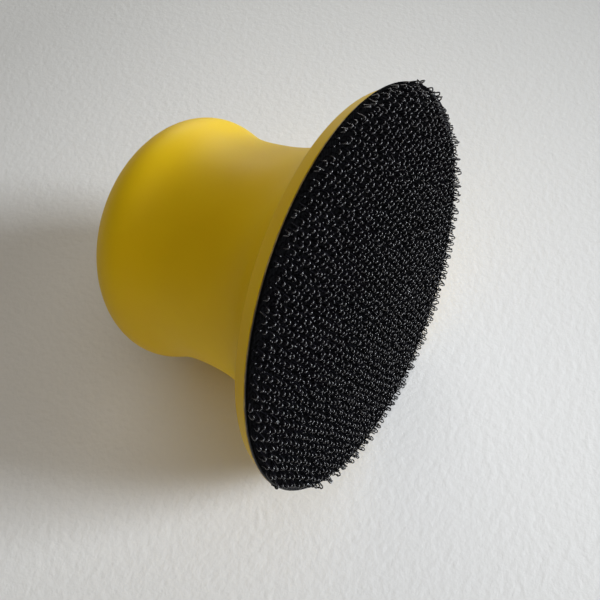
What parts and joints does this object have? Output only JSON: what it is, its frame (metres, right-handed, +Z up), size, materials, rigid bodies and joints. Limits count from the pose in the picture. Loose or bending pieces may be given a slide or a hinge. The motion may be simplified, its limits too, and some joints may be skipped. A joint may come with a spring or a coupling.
{
  "type": "hand pad holder",
  "caption": "Mushroom-shaped moulded foam hand grip with a round hook-tape face that takes loop-backed polishing pads and sanding discs.",
  "frame": {"origin": "centre of the plane of the hook tips, on the grip's axis", "axes": "+Y up the grip's axis from the hooks to the palm knob, so the hook face looks along -Y; +Z up with the holder lying on its side; +X across the face"},
  "size_m": [0.075, 0.0564, 0.075],
  "materials": {
    "foam_skin": "satin self-skinned polyurethane foam",
    "foam_core": "open fine-celled polyurethane foam",
    "adhesive": "cured contact adhesive",
    "tape_coating": "matt resin back coat",
    "tape_cloth": "woven nylon",
    "hooks": "cut nylon monofilament hooks"
  },
  "bodies": {
    "root": {"foam_skin": "foam_skin", "foam_core": "foam_core", "adhesive_film": "adhesive", "tape_coating": "tape_coating", "tape_cloth": "tape_cloth", "hook_pile": "hooks"}
  },
  "joints": []
}
